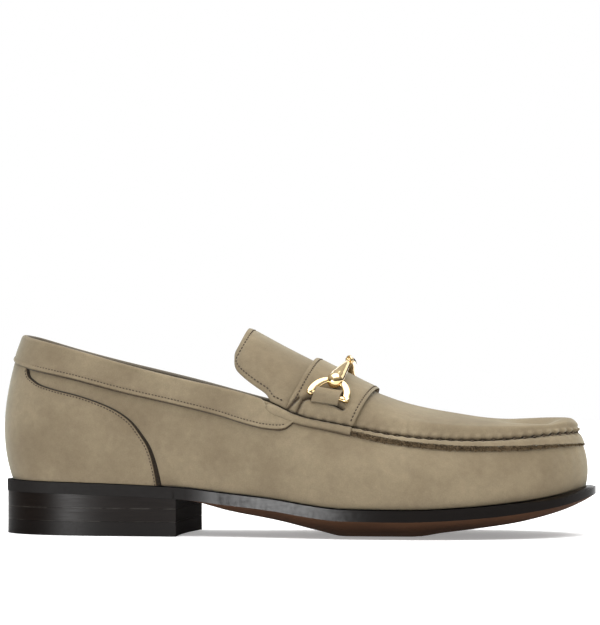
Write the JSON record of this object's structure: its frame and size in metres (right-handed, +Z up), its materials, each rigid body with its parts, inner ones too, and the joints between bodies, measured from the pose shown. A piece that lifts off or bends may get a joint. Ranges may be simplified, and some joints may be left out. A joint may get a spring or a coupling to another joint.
{
  "type": "bit loafer",
  "caption": "Moccasin-toe bit loafer with a hollow upper, tongue, saddle strap, metal snaffle bit, leather sole and stacked block heel.",
  "frame": {"origin": "on the floor, under the middle of the shoe's box", "axes": "+X from heel to toe, +Y to the wearer's left, which is the inner side of this right shoe, +Z up"},
  "size_m": [0.3022, 0.1022, 0.1049],
  "materials": {
    "taupe_nubuck": "buffed nubuck with a short matt nap",
    "sole_leather": "burnished and waxed edge",
    "heel_rubber": "satin moulded rubber",
    "pale_gold": "polished pale gold plating",
    "insole_leather": "smooth lining leather"
  },
  "bodies": {
    "root": {"outsole": "sole_leather", "heel_lift_upper": "sole_leather", "heel_lift_lower": "sole_leather", "heel_top_piece": "heel_rubber", "insole": "insole_leather", "upper": "taupe_nubuck", "tongue": "taupe_nubuck", "saddle_strap": "taupe_nubuck", "seam_roll": "taupe_nubuck", "seam_strip_outer": "taupe_nubuck", "seam_strip_inner": "taupe_nubuck", "collar_band": "taupe_nubuck", "heel_counter": "taupe_nubuck", "bit_loop_outer": "taupe_nubuck", "bit_loop_inner": "taupe_nubuck", "bit_ring_outer": "pale_gold", "bit_ring_inner": "pale_gold", "bit_bar_outer": "pale_gold", "bit_bar_inner": "pale_gold"}
  },
  "joints": []
}
